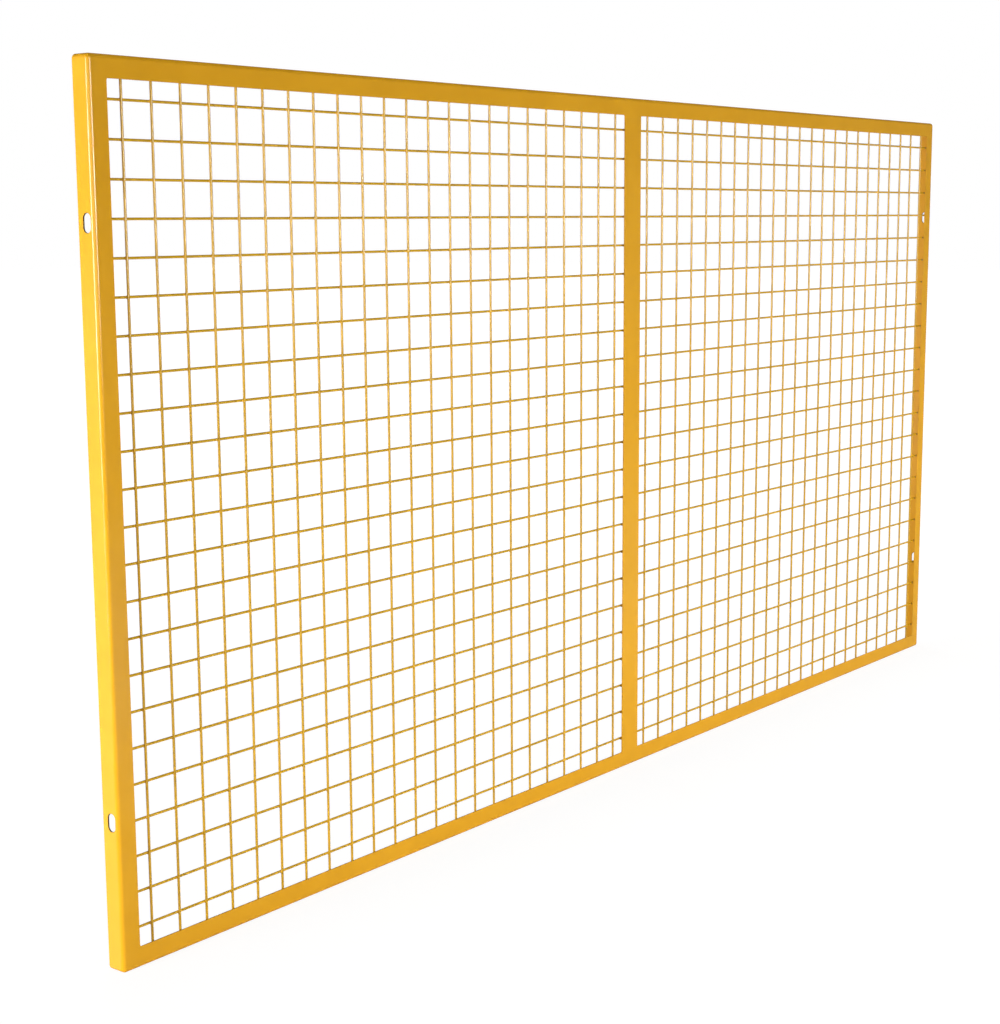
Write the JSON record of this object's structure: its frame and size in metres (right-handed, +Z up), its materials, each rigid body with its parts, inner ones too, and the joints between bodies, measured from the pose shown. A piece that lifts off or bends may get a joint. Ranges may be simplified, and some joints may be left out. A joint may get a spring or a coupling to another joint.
{
  "type": "rack backing panel",
  "caption": "Upright rectangular panel of welded wire mesh in a frame of steel angle with a flat centre bar, bolted through side slots to close the back of a storage rack.",
  "frame": {"origin": "on the outer face of the left stile's side leg, halfway up, on the line through its two bolt slots", "axes": "+X along the panel from the left stile to the right stile, +Y from the front of the panel to its back, +Z up"},
  "size_m": [2.41, 0.03, 1.21],
  "materials": {
    "frame_coating": "glossy golden-yellow powder coat on steel",
    "mesh_coating": "glossy golden-yellow powder coat on welded steel wire"
  },
  "bodies": {
    "root": {"top_rail": "frame_coating", "bottom_rail": "frame_coating", "left_stile": "frame_coating", "right_stile": "frame_coating", "centre_bar": "frame_coating", "left_mesh": "mesh_coating", "middle_mesh": "mesh_coating", "right_mesh": "mesh_coating"}
  },
  "joints": []
}
